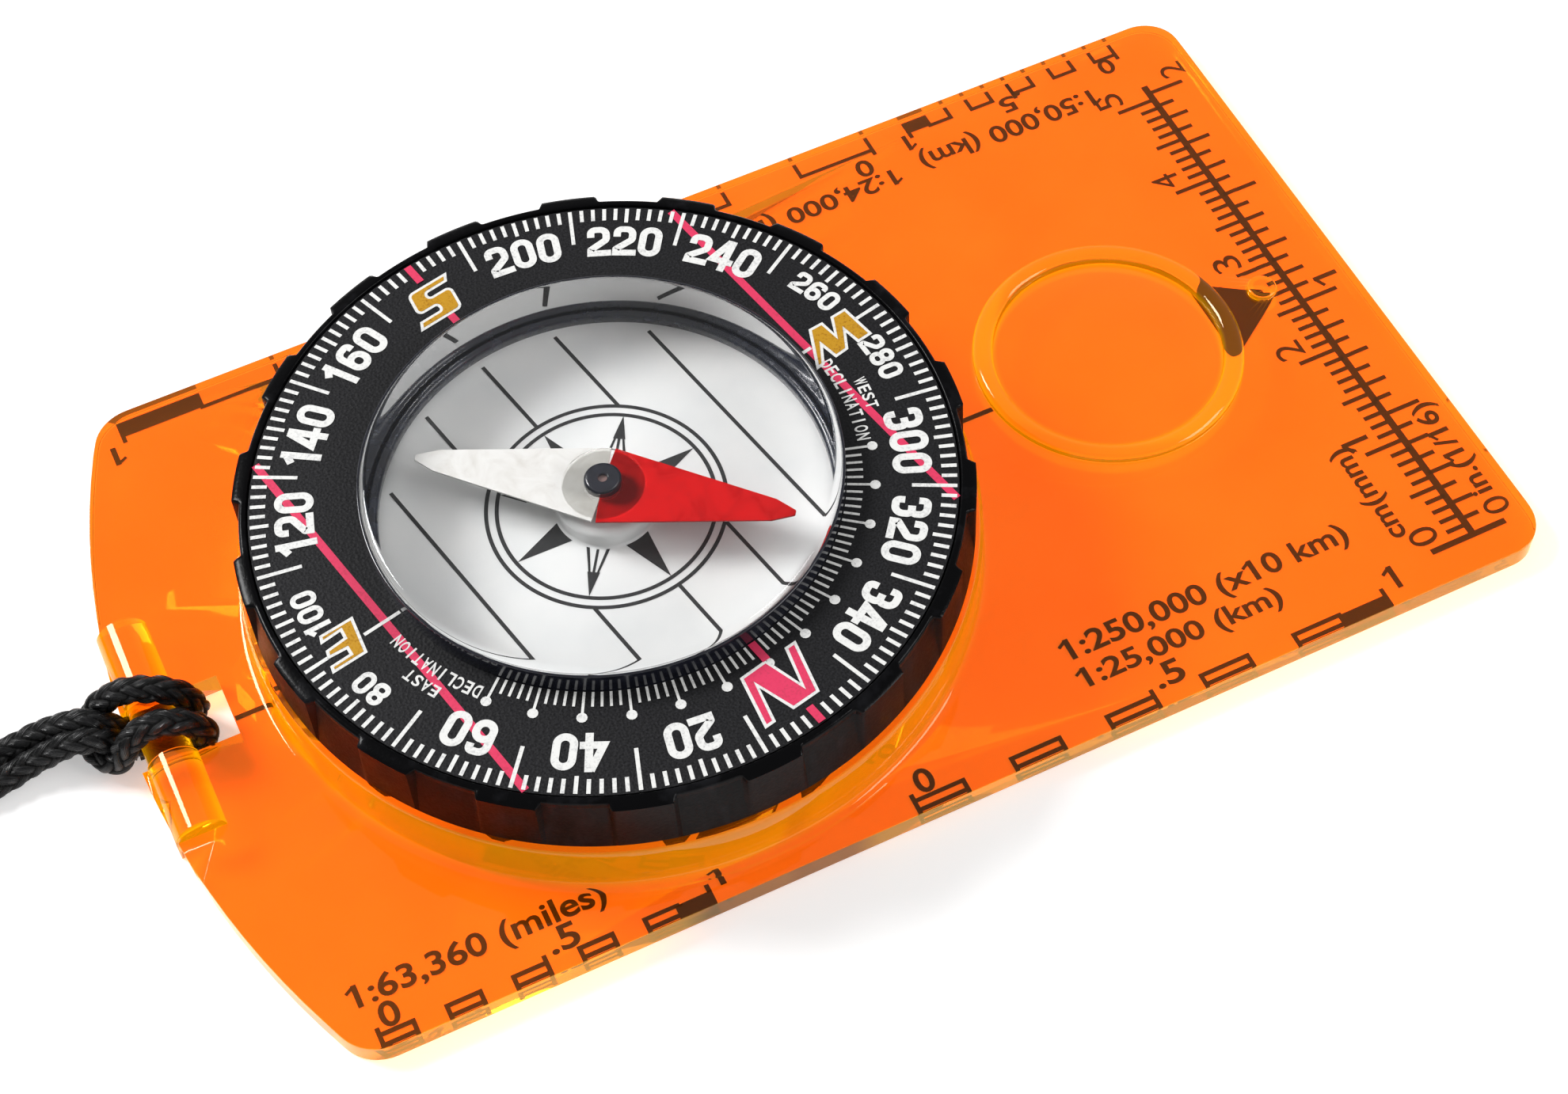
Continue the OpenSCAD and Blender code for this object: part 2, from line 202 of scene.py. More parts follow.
def catmull(points, step):
    """A smooth line through the points, with a point about every step, and the original points kept."""
    line = []
    n = len(points)
    for i in range(n - 1):
        p0, p1 = points[max(i - 1, 0)], points[i]
        p2, p3 = points[i + 1], points[min(i + 2, n - 1)]
        pieces = max(1, round((p2 - p1).length / step))
        for k in range(pieces):
            t = k / pieces
            line.append(0.5 * (2 * p1 + (p2 - p0) * t + (2 * p0 - 5 * p1 + 4 * p2 - p3) * t * t
                               + (3 * p1 - p0 - 3 * p2 + p3) * t ** 3))
    line.append(points[-1])
    return line


# ---- material helpers
# Where the plate's lens, pip and turret are, in millimetres from the frame's origin.
LENS_X, LENS_R, LENS_CLEAR = 30.2, 9.2, 11.4
PIP_X = 44.4
TURRET_REACH = 31.0


class Shader:
    """A node material, built a node at a time."""

    def __init__(self, name, colour, roughness, **sockets):
        self.material = bpy.data.materials.new(name)
        self.material.use_nodes = True
        self.tree = self.material.node_tree
        self.tree.nodes.clear()
        self.out = self.node("ShaderNodeOutputMaterial")
        self.bsdf = self.node("ShaderNodeBsdfPrincipled")
        self.bsdf.inputs["Base Color"].default_value = (*colour, 1)
        self.bsdf.inputs["Roughness"].default_value = roughness
        for key, value in sockets.items():
            self.bsdf.inputs[key.replace("_", " ")].default_value = value
        self.join(self.bsdf.outputs[0], self.out.inputs["Surface"])

    def node(self, kind, **values):
        node = self.tree.nodes.new(kind)
        for key, value in values.items():
            setattr(node, key, value)
        return node

    def join(self, source, target):
        self.tree.links.new(source, target)

    def place(self, stretch=(1, 1, 1), turn=(0, 0, 0)):
        """Object coordinates in metres, stretched."""
        coords = self.node("ShaderNodeTexCoord")
        mapping = self.node("ShaderNodeMapping")
        mapping.inputs["Scale"].default_value = stretch
        mapping.inputs["Rotation"].default_value = turn
        self.join(coords.outputs["Object"], mapping.inputs["Vector"])
        return mapping.outputs["Vector"]

    def noise(self, scale, detail=4.0, roughness=0.55, where=None, distortion=0.0):
        node = self.node("ShaderNodeTexNoise")
        for key, value in zip(("Scale", "Detail", "Roughness", "Distortion"),
                              (scale, detail, roughness, distortion)):
            node.inputs[key].default_value = value
        self.join(where or self.place(), node.inputs["Vector"])
        return node.outputs["Fac"]

    def ramp(self, source, *stops):
        """Maps a number through (position, value or colour) stops."""
        node = self.node("ShaderNodeValToRGB")
        elements = node.color_ramp.elements
        while len(elements) < len(stops):
            elements.new(0.5)
        for element, (position, value) in zip(elements, stops):
            element.position = position
            colour = (value, value, value) if isinstance(value, (int, float)) else value
            element.color = (*colour, 1)
        self.join(source, node.inputs["Fac"])
        return node.outputs["Color"]

    def math(self, operation, one, two):
        node = self.node("ShaderNodeMath", operation=operation)
        for socket, value in zip(node.inputs, (one, two)):
            if isinstance(value, (int, float)):
                socket.default_value = value
            else:
                self.join(value, socket)
        return node.outputs[0]

    def total(self, one, part_one, two, part_two):
        """The first two multiplied, plus the last two multiplied."""
        return self.math("ADD", self.math("MULTIPLY", one, part_one), self.math("MULTIPLY", two, part_two))

    def upward(self):
        """The Z of the surface's normal."""
        split = self.node("ShaderNodeSeparateXYZ")
        self.join(self.node("ShaderNodeNewGeometry").outputs["Normal"], split.inputs[0])
        return split.outputs["Z"]

    def mix(self, fac, one, two):
        node = self.node("ShaderNodeMix", data_type="RGBA")
        for socket, value in zip((node.inputs[0], node.inputs[6], node.inputs[7]), (fac, one, two)):
            if isinstance(value, (int, float)):
                socket.default_value = value
            elif isinstance(value, tuple):
                socket.default_value = (*value, 1)
            else:
                self.join(value, socket)
        return node.outputs[2]

    def bump(self, height, strength, distance, under=None):
        node = self.node("ShaderNodeBump")
        node.inputs["Strength"].default_value = strength
        node.inputs["Distance"].default_value = distance
        self.join(height, node.inputs["Height"])
        if under is not None:
            self.join(under, node.inputs["Normal"])
        return node.outputs["Normal"]

    def near_circle(self, x, y, inner, outer, fade=0.25):
        """One between two distances (millimetres) from an upright axis of the object, else zero."""
        split = self.node("ShaderNodeSeparateXYZ")
        self.join(self.place(), split.inputs[0])
        dx = self.math("SUBTRACT", split.outputs["X"], x * MM)
        dy = self.math("SUBTRACT", split.outputs["Y"], y * MM)
        far = self.math("DIVIDE", self.math("SQRT", self.total(dx, dx, dy, dy), 0.0), outer * 1.25 * MM)
        scale = 1 / (outer * 1.25)
        return self.ramp(far, ((inner - fade) * scale, 0.0), (inner * scale, 1.0), (outer * scale, 1.0),
                         ((outer + fade) * scale, 0.0))

    def feed(self, name, source):
        self.join(source, self.bsdf.inputs[name])

    def colour(self, source, low, high, start=0.3, end=0.7):
        self.feed("Base Color", self.ramp(source, (start, low), (end, high)))

    def rough(self, source, low, high, start=0.3, end=0.7):
        self.feed("Roughness", self.ramp(source, (start, low), (end, high)))

    def relief(self, *height):
        self.feed("Normal", self.bump(*height))

    def clear_to_light(self, tint):
        """Lets light through to what lies behind, tinted."""
        path = self.node("ShaderNodeLightPath")
        clear = self.node("ShaderNodeBsdfTransparent")
        clear.inputs["Color"].default_value = (*tint, 1)
        mix = self.node("ShaderNodeMixShader")
        self.join(path.outputs["Is Shadow Ray"], mix.inputs["Fac"])
        self.join(self.bsdf.outputs[0], mix.inputs[1])
        self.join(clear.outputs[0], mix.inputs[2])
        self.join(mix.outputs[0], self.out.inputs["Surface"])


# ---- materials
def cord_braid():
    """Black polyester braid: fine filaments along each strand, with a soft sheen. The colour is painted
    darker in the gaps between strands and lighter on their crests: painted shade and painted highlight.
    """
    s = Shader("cord_braid", (0.004, 0.004, 0.005), 0.3, Specular_IOR_Level=0.4)
    grain = s.node("ShaderNodeAttribute", attribute_name="filament").outputs["Fac"]
    filament = s.math("SINE", s.math("MULTIPLY", grain, 62.0), 0.0)
    fuzz = s.noise(5200, 3.0)
    crest = s.node("ShaderNodeAttribute", attribute_name="crest").outputs["Fac"]
    threads = s.math("ADD", s.math("MULTIPLY", filament, 0.2), s.math("ADD", fuzz, 0.3))
    # Painted shade and highlight: the crest height darkens the gaps between strands and lightens the strand
    # tops.
    wear_and_painted_shade = s.math("MULTIPLY", crest, threads)
    s.colour(wear_and_painted_shade, (0.0002, 0.0002, 0.0003), (0.009, 0.009, 0.010), 0.4, 0.95)
    s.rough(crest, 0.72, 0.2, 0.5, 0.92)
    lines = s.bump(filament, 0.6, 0.00003)
    s.relief(fuzz, 0.2, 0.00005, lines)
    return s.material


def tie_band():
    s = Shader("tie_band", (0.02, 0.02, 0.022), 0.7, Sheen_Weight=0.3)
    weave = s.node("ShaderNodeTexWave", wave_type="BANDS", bands_direction="DIAGONAL")
    weave.inputs["Scale"].default_value = 900
    s.join(s.place(), weave.inputs["Vector"])
    s.colour(weave.outputs["Fac"], (0.01, 0.01, 0.011), (0.035, 0.035, 0.038), 0.2, 0.8)
    s.relief(weave.outputs["Fac"], 0.5, 0.0001)
    return s.material


def orange_plastic():
    """Clear fluorescent acrylic: deep orange through the sheet, hair scratches on the skin. A painted glow:
    the whole sheet emits faintly, and side-facing surfaces and the lens and pip rims emit more and are
    coloured yellower; round the turret painted shade dims that glow and darkens its colour.
    """
    s = Shader("orange_plastic", (1.0, 0.22, 0.004), 0.05, IOR=1.49, Transmission_Weight=0.95,
               Specular_Tint=(1.0, 0.84, 0.55, 1.0))
    # Painted glow: side-facing surfaces and the lens and pip rims emit light and are coloured yellower.
    side = s.ramp(s.math("ABSOLUTE", s.upward(), 0.0), (0.5, 1.0), (0.97, 0.0))
    rims = s.math("MAXIMUM", s.near_circle(LENS_X, 0, LENS_R - 0.1, LENS_R + 1.5),
                  s.near_circle(PIP_X, 0, 0.8, 1.25, 0.15))
    painted_glow = s.math("MAXIMUM", side, s.math("MULTIPLY", rims, 0.35))
    s.feed("Emission Color", s.mix(painted_glow, (1.0, 0.2, 0.0), (1.0, 0.5, 0.0)))
    # Painted shade round the turret: the glow there is dimmed and its colour painted darker.
    turret = s.near_circle(AXIS.x / MM, AXIS.y / MM, 0, TURRET_REACH, 0.5)
    lit = s.math("MULTIPLY", painted_glow, s.math("SUBTRACT", 1.0, s.math("MULTIPLY", turret, 0.75)))
    s.feed("Emission Strength", s.ramp(lit, (0.0, 0.008), (1.0, 0.26)))
    swell = s.noise(90, 3.0)
    scratch = s.noise(300, 2.0, 0.5, s.place((1, 40, 1), (0, 0, 0.6)), 0.4)
    cross = s.noise(260, 2.0, 0.5, s.place((36, 1, 1), (0, 0, -0.3)), 0.4)
    marks = s.math("MAXIMUM", s.ramp(scratch, (0.66, 0.0), (0.72, 1.0)),
                   s.ramp(cross, (0.67, 0.0), (0.73, 1.0)))
    s.rough(s.total(swell, 0.5, marks, 0.4), 0.015, 0.1, 0.2, 0.8)
    flat = s.ramp(swell, (0.3, (1.0, 0.232, 0.008)), (0.7, (1.0, 0.26, 0.014)))
    # The colour of the painted glow, painted darker round the turret as painted shade.
    painted_glow_colour = s.mix(turret, (0.94, 0.46, 0.006), (0.84, 0.34, 0.003))
    s.feed("Base Color", s.mix(painted_glow, flat, painted_glow_colour))
    s.relief(marks, 0.04, 0.00001)
    s.clear_to_light((1.0, 0.5, 0.12))
    return s.material


def ink(name, colour, wear_and_painted_shade, gloss=0.45, grain=5200):
    """Printed ink, a little uneven and thin at the edges of its grain."""
    s = Shader(name, colour, gloss)
    spots = s.noise(grain, 4.0)
    cloud = s.noise(700, 2.0)
    s.colour(s.total(spots, 0.7, cloud, 0.3), wear_and_painted_shade, colour, 0.34, 0.5)
    s.rough(spots, gloss - 0.12, gloss + 0.12)
    s.relief(spots, 0.25, 0.00003)
    return s.material


def bezel_plastic():
    """Black moulded nylon: fine mould grain, burnished edges, dusty scuffs in patches and upright streaks."""
    s = Shader("bezel_plastic", (0.012, 0.012, 0.014), 0.32, Specular_IOR_Level=0.08, Coat_Weight=0.04,
               Coat_Roughness=0.15)
    grain = s.noise(4200, 4.0)
    patch = s.noise(240, 4.0, 0.6)
    streak = s.noise(500, 3.0, 0.6, s.place((1, 1, 0.25)))
    scuff = s.ramp(s.math("MULTIPLY", patch, streak), (0.27, 0.0), (0.42, 1.0))
    s.feed("Base Color", s.mix(scuff, (0.0012, 0.0012, 0.0016), (0.008, 0.008, 0.0095)))
    wear_and_painted_shade = s.ramp(s.total(grain, 0.4, patch, 0.6), (0.3, 0.4), (0.7, 0.62))
    polish = s.ramp(s.upward(), (0.25, 1.0), (0.7, 0.38))
    s.feed("Roughness", s.math("MULTIPLY", wear_and_painted_shade, polish))
    s.relief(grain, 0.4, 0.00004, s.bump(patch, 0.15, 0.00012))
    return s.material


def dial_print():
    """The dial's black face, with the leathery grain of a moulded ring."""
    s = Shader("dial_print", (0.017, 0.017, 0.02), 0.5, Specular_IOR_Level=0.25)
    cells = s.node("ShaderNodeTexVoronoi", feature="F1")
    cells.inputs["Scale"].default_value = 3800
    s.join(s.place(), cells.inputs["Vector"])
    grain = s.noise(6500, 4.0, 0.6)
    s.colour(grain, (0.0035, 0.0035, 0.0042), (0.021, 0.021, 0.024), 0.38, 0.75)
    s.rough(grain, 0.38, 0.6)
    s.relief(cells.outputs["Distance"], 0.35, 0.00006, s.bump(grain, 0.3, 0.00003))
    return s.material


def capsule_white():
    """Satin white moulded floor."""
    s = Shader("capsule_white", (0.76, 0.76, 0.75), 0.35, Specular_IOR_Level=0.15)
    cloud = s.noise(160, 3.0)
    s.colour(cloud, (0.70, 0.71, 0.71), (0.78, 0.78, 0.77))
    s.rough(s.noise(3000), 0.28, 0.45)
    s.relief(s.noise(3200), 0.08, 0.00003)
    return s.material


def clear_plastic():
    """Polished clear acrylic over clear oil, with fine wiping marks."""
    s = Shader("clear_plastic", (1, 1, 1), 0.0, IOR=1.46, Transmission_Weight=1.0)
    marks = s.noise(240, 3.0, 0.6, s.place((1, 9, 1), (0, 0, 0.9)))
    s.rough(marks, 0.0, 0.05, 0.5, 0.8)
    s.relief(s.noise(60, 2.0), 0.03, 0.0002)
    s.clear_to_light((0.97, 0.98, 0.98))
    return s.material


def frosted():
    s = Shader("frosted_hub", (0.97, 0.97, 0.96), 0.1, IOR=1.1, Transmission_Weight=1.0)
    s.rough(s.noise(1500), 0.01, 0.06)
    s.colour(s.noise(500), (0.93, 0.93, 0.92), (0.99, 0.99, 0.98))
    s.clear_to_light((0.9, 0.9, 0.9))
    return s.material


def paint(name, colour, deep):
    """Satin needle paint with faint flow marks."""
    s = Shader(name, colour, 0.32, Specular_IOR_Level=0.08)
    flow = s.noise(420, 4.0, 0.6, None, 0.8)
    s.colour(flow, deep, colour, 0.28, 0.55)
    s.rough(flow, 0.22, 0.42)
    s.relief(flow, 0.2, 0.00008)
    return s.material


def gloss(name, colour, roughness=0.12):
    """Polished dark plastic or rubber, with a light haze."""
    s = Shader(name, colour, roughness, Coat_Weight=0.4)
    haze = s.noise(900, 3.0)
    s.rough(haze, roughness * 0.6, roughness * 1.8)
    deep, pale = (tuple(c * k for c in colour) for k in (0.7, 1.3))
    s.colour(haze, deep, pale)
    s.relief(s.noise(2500), 0.06, 0.00003)
    return s.material


def jewel_glass():
    s = Shader("jewel_glass", (0.5, 0.3, 0.28), 0.05, IOR=1.76, Transmission_Weight=0.5)
    s.rough(s.noise(6000), 0.02, 0.12)
    return s.material


def steel():
    s = Shader("steel", (0.62, 0.62, 0.64), 0.28, Metallic=1.0)
    lines = s.noise(900, 4.0, 0.6, s.place((1, 1, 14)))
    s.rough(lines, 0.18, 0.4)
    s.colour(lines, (0.5, 0.5, 0.52), (0.72, 0.72, 0.74))
    s.relief(lines, 0.1, 0.00003)
    return s.material


def washer_white():
    s = Shader("washer_white", (0.78, 0.76, 0.7), 0.45)
    s.colour(s.noise(700), (0.7, 0.68, 0.62), (0.83, 0.81, 0.76))
    s.relief(s.noise(3000), 0.1, 0.00003)
    return s.material


ORANGE = orange_plastic()
BROWN_INK = ink("brown_ink", (0.012, 0.004, 0.003), (0.026, 0.008, 0.004))
WHITE_INK = ink("white_ink", (0.86, 0.86, 0.84), (0.6, 0.6, 0.6))
PINK_INK = ink("pink_ink", (0.78, 0.035, 0.12), (0.6, 0.04, 0.1))
GOLD_INK = ink("gold_ink", (0.56, 0.28, 0.006), (0.36, 0.15, 0.004), 0.35)
BLACK_INK = ink("black_ink", (0.008, 0.008, 0.009), (0.02, 0.02, 0.022))
BEZEL_BLACK = bezel_plastic()
CLEAR = clear_plastic()
CAPSULE_WHITE = capsule_white()
NEEDLE_RED = paint("needle_red", (0.55, 0.002, 0.003), (0.4, 0.001, 0.002))
NEEDLE_WHITE = paint("needle_white", (0.72, 0.71, 0.69), (0.62, 0.6, 0.57))
CAP_BLACK = gloss("cap_black", (0.008, 0.009, 0.016))
SEAL_BLACK = gloss("seal_black", (0.006, 0.009, 0.02), 0.2)


def dress(node, material):
    """Gives a CAD node that stays its finished material."""
    obj = bpy.data.objects[node]
    obj.data.materials.clear()
    obj.data.materials.append(material)


# ---- printing
INK_THICK = 0.02 * MM
STAGGER = 5
STAGGER_STEP = 0.0025 * MM


# The built-in face draws these letters as a bar with 16 corners, in units of its own.
BAR_LETTERS, BAR_CORNERS, BAR_WIDEST = "1lI", 16, 0.16
LETTER_GAP = 1e-4
# The slanted stroke that makes a bar a figure 1, from the bar's left edge, and its pen.
FLAG = ((-0.16, 0.5), (0.06, 0.655))
FLAG_PEN = 0.1


def figure_ones(body, mesh):
    """The left edge of each figure 1 in a text's mesh."""
    spans = []
    xs = [v.co.x for v in mesh.vertices]
    for low, high in sorted(sorted(xs[k] for k in edge.vertices) for edge in mesh.edges):
        if spans and low <= spans[-1][1] + LETTER_GAP:
            spans[-1][1] = max(spans[-1][1], high)
        else:
            spans.append([low, high])
    bars = [low for low, high in spans if high - low < BAR_WIDEST
            and sum(low - LETTER_GAP <= x <= high + LETTER_GAP for x in xs) == BAR_CORNERS]
    return [low for low, letter in zip(bars, [c for c in body if c in BAR_LETTERS]) if letter == "1"]


class Print:
    """Ink as thin slabs. Its points are in millimetres, in a frame turned about a centre."""

    def __init__(self, z, centre=Vector((0, 0, 0)), turn=0.0):
        self.bm = bmesh.new()
        self.z = z
        self.drawn = 0
        self.frame = Matrix.Translation((centre.x, centre.y, 0)) @ Matrix.Rotation(turn, 4, "Z")

    def next_level(self):
        """Each stroke is a hair thicker than the last, so that no two share a surface where they cross."""
        self.drawn = (self.drawn + 1) % STAGGER
        lift = self.drawn * STAGGER_STEP
        return self.z + lift, self.z + INK_THICK + lift

    def verts(self, points, z):
        return [self.bm.verts.new(self.frame @ Vector((x * MM, y * MM, z))) for x, y in points]

    def slab(self, points):
        """A filled outline."""
        foot, head = self.next_level()
        skin(self.bm, [self.verts(points, foot), self.verts(points, head)])

    def stroke(self, points, width, closed=False):
        """A line of points drawn with a pen of that width, mitred at the corners."""
        points = [Vector(p) for p in points]
        n = len(points)
        left, right = [], []
        for i, here in enumerate(points):
            came = (here - points[i - 1]).normalized() if i or closed else None
            goes = (points[(i + 1) % n] - here).normalized() if i < n - 1 or closed else None
            came, goes = came or goes, goes or came
            normal = Vector((-(came + goes).y, (came + goes).x))
            normal = normal.normalized() if normal.length > 1e-6 else Vector((-came.y, came.x))
            reach = width / 2 / max(0.45, normal.dot(Vector((-came.y, came.x))))
            left.append(here + normal * reach)
            right.append(here - normal * reach)
        foot, head = self.next_level()
        rings = list(zip(self.verts(left, foot), self.verts(left, head),
                         self.verts(right, head), self.verts(right, foot)))
        skin(self.bm, rings + rings[:1] if closed else rings, capped=not closed)

    def ring(self, r, width, sides=144):
        angles = [2 * pi * k / sides for k in range(sides)]
        self.stroke([(r * cos(a), r * sin(a)) for a in angles], width, closed=True)

    def text(self, body, at, size, turn=0.0, bold=0.02):
        """Letters in the built-in face, fitted to a size (width, height) and centred at a point."""
        curve = bpy.data.curves.new(body, "FONT")
        curve.body = body
        curve.offset = bold
        curve.extrude = 0.5
        curve.resolution_u = 5
        obj = new_object(body, curve)
        view = bpy.context.evaluated_depsgraph_get()
        mesh = bpy.data.meshes.new_from_object(obj.evaluated_get(view))
        low, high = (Vector([end(v.co[k] for v in mesh.vertices) for k in range(3)]) for end in (min, max))
        mid = (low + high) / 2
        wide, tall = size[0] * MM / (high.x - low.x), size[1] * MM / (high.y - low.y)
        scale = Matrix.Diagonal((wide, tall, INK_THICK, 1))
        place = Matrix.Translation((at[0] * MM, at[1] * MM, self.z + INK_THICK / 2))
        put = place @ Matrix.Rotation(turn, 4, "Z")
        fit = put @ scale @ Matrix.Translation(-mid)
        for left in figure_ones(body, mesh):
            if self.drawn == STAGGER - 1:
                self.next_level()
            flag = [(fit @ Vector((left + x, y, 0))).xy / MM for x, y in FLAG]
            self.stroke(flag, FLAG_PEN * size[1] / (high.y - low.y))
        mesh.transform(self.frame @ fit)
        self.bm.from_mesh(mesh)
        bpy.data.objects.remove(obj)
        bpy.data.curves.remove(curve)
        bpy.data.meshes.remove(mesh)

    def done(self, name, body, slot, material):
        return link(name, self.bm, 30, body, slot, material)


# Heavy condensed figures: pen lines in a box of one by one, with how round each corner is.
GLYPHS = {
    "0": [(True, [(0, 0, 1), (1, 0, 1), (1, 1, 1), (0, 1, 1)])],
    "1": [(False, [(0.5, -0.16, 0), (0.5, 1.16, 0)]), (False, [(-0.1, 0.76, 0), (0.5, 0.98, 0)])],
    "2": [(False, [(0, 0.68, 0), (0, 1, 1), (1, 1, 1), (1, 0.56, 0.8), (0, 0.16, 0.3), (0, 0, 0),
                   (1.29, 0, 0)])],
    "3": [(False, [(0, 0.72, 0), (0, 1, 1), (1, 1, 1), (1, 0.52, 1), (0.4, 0.52, 0)]),
          (False, [(0.4, 0.52, 0), (1, 0.52, 1), (1, 0, 1), (0, 0, 1), (0, 0.28, 0)])],
    "4": [(False, [(0.75, -0.16, 0), (0.75, 1.16, 0)]),
          (False, [(0.62, 1.12, 0), (-0.08, 0.26, 0), (1.3, 0.26, 0)])],
    "6": [(True, [(0, 0, 1), (1, 0, 1), (1, 0.56, 1), (0, 0.56, 1)]),
          (False, [(0, 0.3, 0), (0, 1, 1), (1, 1, 1), (1, 0.76, 0)])],
    "8": [(True, [(0, 0, 1), (1, 0, 1), (1, 0.5, 1), (0, 0.5, 1)]),
          (True, [(0.04, 0.5, 1), (0.96, 0.5, 1), (0.96, 1, 1), (0.04, 1, 1)])],
}

# The four slanted letters, upright when north is up: corners in millimetres about each letter's middle,
# with the radius that rounds each one.
LETTERS = {
    "N": ((0.45, 22.1), [
        (3.05, 2.2, 0), (1.95, -2.2, 0), (-0.4, -2.25, 0), (-1.15, 0.8, 0), (-2.05, -2.2, 0),
        (-3.05, -2.2, 0), (-1.8, 2.2, 0), (0.55, 2.2, 0), (1.35, -0.7, 0), (2.1, 2.2, 0)]),
    "S": ((0.3, -22.1), [
        (2.4, 1.85, 0), (1.95, 1.0, 0), (0.0, 1.0, 0.2), (0.0, 0.45, 0.2), (1.75, 0.45, 0.5),
        (1.3, -1.85, 0.6), (-2.4, -1.85, 0), (-1.95, -1.05, 0), (0.0, -1.05, 0.2),
        (0.0, -0.55, 0.2), (-1.95, -0.55, 0.5), (-1.5, 1.85, 0.6)]),
    "E": ((22.8, -0.25), [
        (-1.0, 1.65, 0), (1.95, 1.6, 0), (1.75, 0.95, 0), (0.1, 0.95, 0), (0.05, 0.5, 0),
        (1.55, 0.35, 0), (1.3, -0.35, 0), (-0.3, -0.45, 0), (-0.4, -1.05, 0), (1.3, -1.0, 0),
        (1.0, -1.7, 0), (-1.8, -1.6, 0)]),
    "W": ((-21.4, 0.25), [
        (2.75, 1.7, 0), (0.85, -1.75, 0), (-0.4, -1.65, 0), (-0.45, -0.2, 0), (-1.2, -1.65, 0),
        (-2.6, -1.6, 0), (-2.7, 1.65, 0), (-1.3, 1.65, 0), (-1.2, 0.3, 0), (-0.35, 1.65, 0),
        (0.9, 1.7, 0), (1.05, 0.3, 0), (1.95, 1.65, 0)]),
}


def inset(points, margin):
    """A closed outline drawn in by a margin."""
    area = sum(points[i - 1].x * p.y - p.x * points[i - 1].y for i, p in enumerate(points)) / 2
    turn = 1 if area > 0 else -1
    out = []
    for i, here in enumerate(points):
        came = (here - points[i - 1]).normalized()
        goes = (points[(i + 1) % len(points)] - here).normalized()
        normal = Vector((-(came + goes).y, (came + goes).x)).normalized() * turn
        reach = margin / max(0.35, normal.dot(Vector((-came.y, came.x)) * turn))
        out.append(here + normal * reach)
    return out


def glyph(sheet, letter, bearing, r_low, size, pen):
    """One figure with its foot at radius r_low and its top outwards, at a bearing in radians."""
    w, h = size[0] - pen, size[1] - pen
    out = Vector((sin(bearing), cos(bearing)))
    across = Vector((out.y, -out.x))
    for closed, corners in GLYPHS[letter]:
        flat = [Vector(((x - 0.5) * w, y * h + pen / 2)) for x, y, _ in corners]
        n = len(flat)
        marked = []
        for i, point in enumerate(flat):
            edges = [(point - flat[j % n]).length for j in (i - 1, i + 1) if closed or 0 <= j < n]
            marked.append((point.x, point.y, corners[i][2] * 0.49 * min(edges)))
        line = rounded(marked, closed)
        sheet.stroke([out * (r_low + q.y) + across * q.x for q in line], pen, closed)


def polar(degrees, r):
    return (r * sin(radians(degrees)), r * cos(radians(degrees)))


# ---- the lanyard
# The route's points, repeated from the CAD source and given there in millimetres.
HITCH_ROUTE = [
    (-51.5, 0.8, 1.05), (-49.8, 0.3, 1.05), (-48.4, -0.5, 1.05), (-47.2, -1.1, 1.2),
    (-46.7, -1.2, 2.2), (-46.8, -1.2, 3.4), (-47.6, -1, 4.4), (-48.8, -0.6, 4.8),
    (-50.1, -0.3, 4.8), (-51.4, -0.2, 4.2), (-52.3, -0.2, 3.2), (-52.9, -0.1, 2),
    (-53.7, 0.4, 1.2), (-54.3, 1.3, 1.05), (-54.6, 2.4, 1.05), (-54.4, 3.5, 1.1),
    (-53.9, 4.2, 1.8), (-53.2, 4.3, 2.8), (-52.2, 4, 3.9), (-50.9, 3.5, 4.7),
    (-49.6, 2.9, 4.9), (-48.3, 2.3, 4.7), (-47.3, 1.8, 4.1), (-46.7, 1.5, 3.1),
    (-46.6, 1.5, 2), (-47.4, 1.7, 1.1), (-49, 2, 1.05), (-51.5, 2.35, 1.05),
]
STRAND_A_ROUTE = [
    (-51.5, 0.8, 1.05), (-52.3, 1.15, 1.4), (-53.1, 1.4, 2.25), (-54, 1.6, 2.9), (-55, 1.9, 3),
    (-56.1, 2.3, 2.7), (-57.4, 2.6, 2.1), (-59, 2.8, 1.5), (-60.6, 2.7, 1.1), (-62, 2.5, 1),
    (-64.4, 2.4, 1), (-66.8, 2.3, 1), (-69.4, 2.3, 1), (-72, 2.4, 1),
]
STRAND_B_ROUTE = [
    (-51.5, 2.35, 1.05), (-52.3, 2.5, 1.45), (-53.1, 2.75, 2.5), (-54, 3, 3.3), (-55, 3.5, 3.2),
    (-56.3, 4.1, 2.6), (-57.9, 4.7, 1.8), (-59.5, 4.9, 1.2), (-61.1, 4.9, 1), (-63, 4.6, 1.1),
    (-65.4, 4.4, 1.4), (-67.8, 4.1, 1.9), (-70.2, 3.7, 2.5), (-72.4, 3, 2.9),
]
CORD_D = 2.0 * MM
CORD_R = CORD_D / 2
COIL_TURNS = 4.5
COIL_PITCH = 2.05 * MM
TURN_POINTS = 24
CARRIERS = 6  # strands that run each way round the braid
BRAID_LAY = 4.6 * MM  # length of cord in which a strand goes once round half the braid
STRAND_RELIEF = 0.52 * MM
KNOT_POINTS = 160
coil_mid = (coil_low + coil_high) / 2
knot_mid = (knot_low + knot_high) / 2


